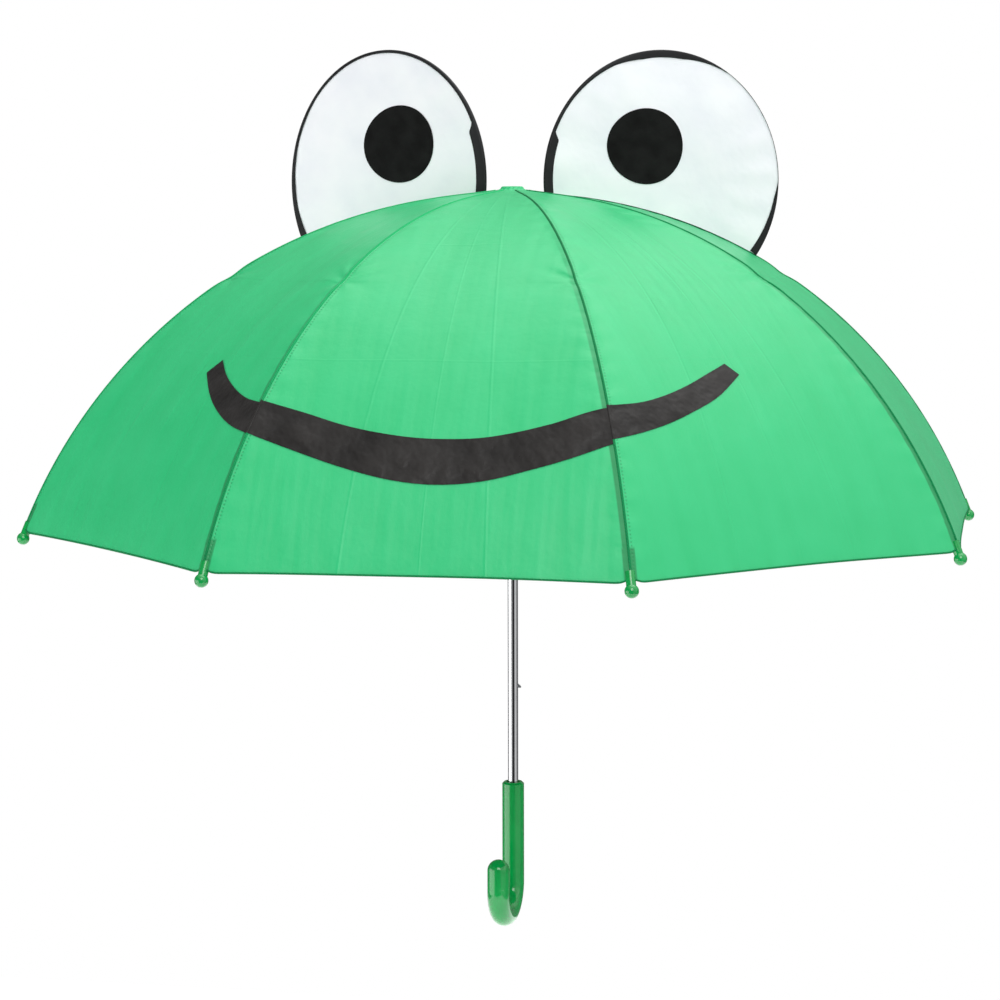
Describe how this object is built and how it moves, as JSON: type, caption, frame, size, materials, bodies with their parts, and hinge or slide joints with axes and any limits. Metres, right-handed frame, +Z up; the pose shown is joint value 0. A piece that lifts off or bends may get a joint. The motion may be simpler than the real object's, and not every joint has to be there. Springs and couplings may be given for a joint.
{
  "type": "children's umbrella",
  "caption": "Child's dome umbrella with a J-hook handle, a sliding runner, folding ribs and a cloth canopy with two pop-up eyes and a smiling mouth.",
  "frame": {"origin": "on the shaft's axis at the middle of the straight grip", "axes": "+Z up the shaft towards the crown, -Y the way the face looks"},
  "size_m": [0.6978, 0.6978, 0.6738],
  "materials": {
    "green_plastic": "glossy moulded",
    "chromed_tube": "polished",
    "crown_cloth": "cloth-covered cap",
    "dark_plastic": "moulded",
    "wire": "drawn",
    "spring_steel": "rolled",
    "snap_metal": "polished",
    "rib_steel": "zinc plated",
    "canopy_cloth": "thin woven polyester with a sheen",
    "eye_cloth": "white satin",
    "eye_back_cloth": "black satin",
    "pupil_cloth": "black print"
  },
  "bodies": {
    "shaft": {"hook_handle": "green_plastic", "shaft_tube": "chromed_tube", "top_cap": "crown_cloth", "top_notch": "dark_plastic", "notch_wire": "wire", "runner_stop_pin": "wire"},
    "runner": {"runner": "dark_plastic", "runner_wire": "wire"},
    "top_catch": {"top_catch_spring": "spring_steel"},
    "bottom_catch": {"bottom_catch_spring": "spring_steel"},
    "rib_1": {"rib_1_inner": "rib_steel"},
    "rib_2": {"rib_2_inner": "rib_steel"},
    "rib_3": {"rib_3_inner": "rib_steel"},
    "rib_4": {"rib_4_inner": "rib_steel"},
    "rib_5": {"rib_5_inner": "rib_steel"},
    "rib_6": {"rib_6_inner": "rib_steel"},
    "rib_7": {"rib_7_inner": "rib_steel"},
    "rib_8": {"rib_8_inner": "rib_steel"},
    "rib_end_1": {"rib_1_outer": "rib_steel", "rib_tip_1": "green_plastic"},
    "rib_end_2": {"rib_2_outer": "rib_steel", "rib_tip_2": "green_plastic"},
    "rib_end_3": {"rib_3_outer": "rib_steel", "rib_tip_3": "green_plastic"},
    "rib_end_4": {"rib_4_outer": "rib_steel", "rib_tip_4": "green_plastic"},
    "rib_end_5": {"rib_5_outer": "rib_steel", "rib_tip_5": "green_plastic"},
    "rib_end_6": {"rib_6_outer": "rib_steel", "rib_tip_6": "green_plastic"},
    "rib_end_7": {"rib_7_outer": "rib_steel", "rib_tip_7": "green_plastic"},
    "rib_end_8": {"rib_8_outer": "rib_steel", "rib_tip_8": "green_plastic"},
    "stretcher_1": {"stretcher_1": "rib_steel"},
    "stretcher_2": {"stretcher_2": "rib_steel"},
    "stretcher_3": {"stretcher_3": "rib_steel"},
    "stretcher_4": {"stretcher_4": "rib_steel"},
    "stretcher_5": {"stretcher_5": "rib_steel"},
    "stretcher_6": {"stretcher_6": "rib_steel"},
    "stretcher_7": {"stretcher_7": "rib_steel"},
    "stretcher_8": {"stretcher_8": "rib_steel"},
    "canopy_1": {"canopy_panel_1": "canopy_cloth"},
    "canopy_2": {"canopy_panel_2": "canopy_cloth"},
    "canopy_3": {"canopy_panel_3": "canopy_cloth"},
    "canopy_4": {"canopy_panel_4": "canopy_cloth"},
    "canopy_5": {"canopy_panel_5": "canopy_cloth"},
    "canopy_6": {"canopy_panel_6": "canopy_cloth", "tie_strap": "canopy_cloth", "strap_snap": "snap_metal"},
    "canopy_7": {"canopy_panel_7": "canopy_cloth"},
    "canopy_8": {"canopy_panel_8": "canopy_cloth"},
    "eye_left": {"eye_left_front": "eye_cloth", "eye_left_back": "eye_back_cloth", "eye_left_hoop": "eye_back_cloth", "eye_left_pupil": "pupil_cloth"},
    "eye_right": {"eye_right_front": "eye_cloth", "eye_right_back": "eye_back_cloth", "eye_right_hoop": "eye_back_cloth", "eye_right_pupil": "pupil_cloth"}
  },
  "joints": [
    {"name": "runner_slide", "type": "slide", "parent": "shaft", "child": "runner", "axis": [0, 0, -1], "range_m": [0, 0.2142]},
    {"name": "rib_1_hinge", "type": "hinge", "parent": "shaft", "child": "rib_1", "pos_m": [-0.00647, -0.00268, 0.491], "axis": [0.3827, -0.9239, 0], "range_deg": [0, 67.8]},
    {"name": "rib_2_hinge", "type": "hinge", "parent": "shaft", "child": "rib_2", "pos_m": [-0.00268, -0.00647, 0.491], "axis": [0.9239, -0.3827, 0], "range_deg": [0, 67.8]},
    {"name": "rib_3_hinge", "type": "hinge", "parent": "shaft", "child": "rib_3", "pos_m": [0.00268, -0.00647, 0.491], "axis": [0.9239, 0.3827, 0], "range_deg": [0, 67.8]},
    {"name": "rib_4_hinge", "type": "hinge", "parent": "shaft", "child": "rib_4", "pos_m": [0.00647, -0.00268, 0.491], "axis": [0.3827, 0.9239, 0], "range_deg": [0, 67.8]},
    {"name": "rib_5_hinge", "type": "hinge", "parent": "shaft", "child": "rib_5", "pos_m": [0.00647, 0.00268, 0.491], "axis": [-0.3827, 0.9239, 0], "range_deg": [0, 67.8]},
    {"name": "rib_6_hinge", "type": "hinge", "parent": "shaft", "child": "rib_6", "pos_m": [0.00268, 0.00647, 0.491], "axis": [-0.9239, 0.3827, 0], "range_deg": [0, 67.8]},
    {"name": "rib_7_hinge", "type": "hinge", "parent": "shaft", "child": "rib_7", "pos_m": [-0.00268, 0.00647, 0.491], "axis": [-0.9239, -0.3827, 0], "range_deg": [0, 67.8]},
    {"name": "rib_8_hinge", "type": "hinge", "parent": "shaft", "child": "rib_8", "pos_m": [-0.00647, 0.00268, 0.491], "axis": [-0.3827, -0.9239, 0], "range_deg": [0, 67.8]},
    {"name": "rib_1_flex", "type": "hinge", "parent": "rib_1", "child": "rib_end_1", "pos_m": [-0.20023, -0.08294, 0.43043], "axis": [0.3827, -0.9239, 0], "range_deg": [-25.05, 0]},
    {"name": "rib_2_flex", "type": "hinge", "parent": "rib_2", "child": "rib_end_2", "pos_m": [-0.08294, -0.20023, 0.43043], "axis": [0.9239, -0.3827, 0], "range_deg": [-25.05, 0]},
    {"name": "rib_3_flex", "type": "hinge", "parent": "rib_3", "child": "rib_end_3", "pos_m": [0.08294, -0.20023, 0.43043], "axis": [0.9239, 0.3827, 0], "range_deg": [-25.05, 0]},
    {"name": "rib_4_flex", "type": "hinge", "parent": "rib_4", "child": "rib_end_4", "pos_m": [0.20023, -0.08294, 0.43043], "axis": [0.3827, 0.9239, 0], "range_deg": [-25.05, 0]},
    {"name": "rib_5_flex", "type": "hinge", "parent": "rib_5", "child": "rib_end_5", "pos_m": [0.20023, 0.08294, 0.43043], "axis": [-0.3827, 0.9239, 0], "range_deg": [-25.05, 0]},
    {"name": "rib_6_flex", "type": "hinge", "parent": "rib_6", "child": "rib_end_6", "pos_m": [0.08294, 0.20023, 0.43043], "axis": [-0.9239, 0.3827, 0], "range_deg": [-25.05, 0]},
    {"name": "rib_7_flex", "type": "hinge", "parent": "rib_7", "child": "rib_end_7", "pos_m": [-0.08294, 0.20023, 0.43043], "axis": [-0.9239, -0.3827, 0], "range_deg": [-25.05, 0]},
    {"name": "rib_8_flex", "type": "hinge", "parent": "rib_8", "child": "rib_end_8", "pos_m": [-0.20023, 0.08294, 0.43043], "axis": [-0.3827, -0.9239, 0], "range_deg": [-25.05, 0]},
    {"name": "stretcher_1_hinge", "type": "hinge", "parent": "rib_1", "child": "stretcher_1", "pos_m": [-0.15715, -0.06509, 0.4501], "axis": [0.3827, -0.9239, 0], "range_deg": [-119.77, 0]},
    {"name": "stretcher_2_hinge", "type": "hinge", "parent": "rib_2", "child": "stretcher_2", "pos_m": [-0.06509, -0.15715, 0.4501], "axis": [0.9239, -0.3827, 0], "range_deg": [-119.77, 0]},
    {"name": "stretcher_3_hinge", "type": "hinge", "parent": "rib_3", "child": "stretcher_3", "pos_m": [0.06509, -0.15715, 0.4501], "axis": [0.9239, 0.3827, 0], "range_deg": [-119.77, 0]},
    {"name": "stretcher_4_hinge", "type": "hinge", "parent": "rib_4", "child": "stretcher_4", "pos_m": [0.15715, -0.06509, 0.4501], "axis": [0.3827, 0.9239, 0], "range_deg": [-119.77, 0]},
    {"name": "stretcher_5_hinge", "type": "hinge", "parent": "rib_5", "child": "stretcher_5", "pos_m": [0.15715, 0.06509, 0.4501], "axis": [-0.3827, 0.9239, 0], "range_deg": [-119.77, 0]},
    {"name": "stretcher_6_hinge", "type": "hinge", "parent": "rib_6", "child": "stretcher_6", "pos_m": [0.06509, 0.15715, 0.4501], "axis": [-0.9239, 0.3827, 0], "range_deg": [-119.77, 0]},
    {"name": "stretcher_7_hinge", "type": "hinge", "parent": "rib_7", "child": "stretcher_7", "pos_m": [-0.06509, 0.15715, 0.4501], "axis": [-0.9239, -0.3827, 0], "range_deg": [-119.77, 0]},
    {"name": "stretcher_8_hinge", "type": "hinge", "parent": "rib_8", "child": "stretcher_8", "pos_m": [-0.15715, 0.06509, 0.4501], "axis": [-0.3827, -0.9239, 0], "range_deg": [-119.77, 0]},
    {"name": "canopy_1_fold", "type": "hinge", "parent": "shaft", "child": "canopy_1", "pos_m": [0.07634, 0.07634, 0.58123], "axis": [0.7071, -0.7071, 0], "range_deg": [0, 40.44], "deforming": ["canopy_panel_1"]},
    {"name": "canopy_2_fold", "type": "hinge", "parent": "shaft", "child": "canopy_2", "pos_m": [0, 0.10796, 0.58123], "axis": [1, 0, 0], "range_deg": [0, 40.44], "deforming": ["canopy_panel_2"]},
    {"name": "canopy_3_fold", "type": "hinge", "parent": "shaft", "child": "canopy_3", "pos_m": [-0.07634, 0.07634, 0.58123], "axis": [0.7071, 0.7071, 0], "range_deg": [0, 40.44], "deforming": ["canopy_panel_3"]},
    {"name": "canopy_4_fold", "type": "hinge", "parent": "shaft", "child": "canopy_4", "pos_m": [-0.10796, 0, 0.58123], "axis": [0, 1, 0], "range_deg": [0, 40.44], "deforming": ["canopy_panel_4"]},
    {"name": "canopy_5_fold", "type": "hinge", "parent": "shaft", "child": "canopy_5", "pos_m": [-0.07634, -0.07634, 0.58123], "axis": [-0.7071, 0.7071, 0], "range_deg": [0, 40.44], "deforming": ["canopy_panel_5"]},
    {"name": "canopy_6_fold", "type": "hinge", "parent": "shaft", "child": "canopy_6", "pos_m": [0, -0.10796, 0.58123], "axis": [-1, 0, 0], "range_deg": [0, 40.44], "deforming": ["canopy_panel_6", "tie_strap", "strap_snap"]},
    {"name": "canopy_7_fold", "type": "hinge", "parent": "shaft", "child": "canopy_7", "pos_m": [0.07634, -0.07634, 0.58123], "axis": [-0.7071, -0.7071, 0], "range_deg": [0, 40.44], "deforming": ["canopy_panel_7"]},
    {"name": "canopy_8_fold", "type": "hinge", "parent": "shaft", "child": "canopy_8", "pos_m": [0.10796, 0, 0.58123], "axis": [0, -1, 0], "range_deg": [0, 40.44], "deforming": ["canopy_panel_8"]},
    {"name": "top_catch_press", "type": "hinge", "parent": "shaft", "child": "top_catch", "pos_m": [0.00245, 0, 0.2939], "axis": [0, -1, 0], "range_deg": [0, 3.6], "stiffness_Nm_per_rad": 2},
    {"name": "bottom_catch_press", "type": "hinge", "parent": "shaft", "child": "bottom_catch", "pos_m": [0.00245, 0, 0.0797], "axis": [0, -1, 0], "range_deg": [0, 3.6], "stiffness_Nm_per_rad": 2},
    {"name": "eye_left_flop", "type": "hinge", "parent": "rib_8", "child": "eye_left", "pos_m": [-0.10105, 0.04186, 0.47809], "axis": [-0.8903, 0.3688, -0.2672], "range_deg": [-60, 60], "stiffness_Nm_per_rad": 0.35},
    {"name": "eye_right_flop", "type": "hinge", "parent": "rib_5", "child": "eye_right", "pos_m": [0.10105, 0.04186, 0.47809], "axis": [0.8903, 0.3688, -0.2672], "range_deg": [-60, 60], "stiffness_Nm_per_rad": 0.35}
  ],
  "couplings": [
    {"joint": "rib_1_hinge", "follows": "runner_slide", "rad_per_m": 5.5236},
    {"joint": "rib_2_hinge", "follows": "runner_slide", "rad_per_m": 5.5236},
    {"joint": "rib_3_hinge", "follows": "runner_slide", "rad_per_m": 5.5236},
    {"joint": "rib_4_hinge", "follows": "runner_slide", "rad_per_m": 5.5236},
    {"joint": "rib_5_hinge", "follows": "runner_slide", "rad_per_m": 5.5236},
    {"joint": "rib_6_hinge", "follows": "runner_slide", "rad_per_m": 5.5236},
    {"joint": "rib_7_hinge", "follows": "runner_slide", "rad_per_m": 5.5236},
    {"joint": "rib_8_hinge", "follows": "runner_slide", "rad_per_m": 5.5236},
    {"joint": "rib_1_flex", "follows": "runner_slide", "rad_per_m": -2.04},
    {"joint": "rib_2_flex", "follows": "runner_slide", "rad_per_m": -2.04},
    {"joint": "rib_3_flex", "follows": "runner_slide", "rad_per_m": -2.04},
    {"joint": "rib_4_flex", "follows": "runner_slide", "rad_per_m": -2.04},
    {"joint": "rib_5_flex", "follows": "runner_slide", "rad_per_m": -2.04},
    {"joint": "rib_6_flex", "follows": "runner_slide", "rad_per_m": -2.04},
    {"joint": "rib_7_flex", "follows": "runner_slide", "rad_per_m": -2.04},
    {"joint": "rib_8_flex", "follows": "runner_slide", "rad_per_m": -2.04},
    {"joint": "stretcher_1_hinge", "follows": "runner_slide", "rad_per_m": -9.758},
    {"joint": "stretcher_2_hinge", "follows": "runner_slide", "rad_per_m": -9.758},
    {"joint": "stretcher_3_hinge", "follows": "runner_slide", "rad_per_m": -9.758},
    {"joint": "stretcher_4_hinge", "follows": "runner_slide", "rad_per_m": -9.758},
    {"joint": "stretcher_5_hinge", "follows": "runner_slide", "rad_per_m": -9.758},
    {"joint": "stretcher_6_hinge", "follows": "runner_slide", "rad_per_m": -9.758},
    {"joint": "stretcher_7_hinge", "follows": "runner_slide", "rad_per_m": -9.758},
    {"joint": "stretcher_8_hinge", "follows": "runner_slide", "rad_per_m": -9.758},
    {"joint": "canopy_1_fold", "follows": "runner_slide", "rad_per_m": 3.2939},
    {"joint": "canopy_2_fold", "follows": "runner_slide", "rad_per_m": 3.2939},
    {"joint": "canopy_3_fold", "follows": "runner_slide", "rad_per_m": 3.2939},
    {"joint": "canopy_4_fold", "follows": "runner_slide", "rad_per_m": 3.2939},
    {"joint": "canopy_5_fold", "follows": "runner_slide", "rad_per_m": 3.2939},
    {"joint": "canopy_6_fold", "follows": "runner_slide", "rad_per_m": 3.2939},
    {"joint": "canopy_7_fold", "follows": "runner_slide", "rad_per_m": 3.2939},
    {"joint": "canopy_8_fold", "follows": "runner_slide", "rad_per_m": 3.2939}
  ]
}
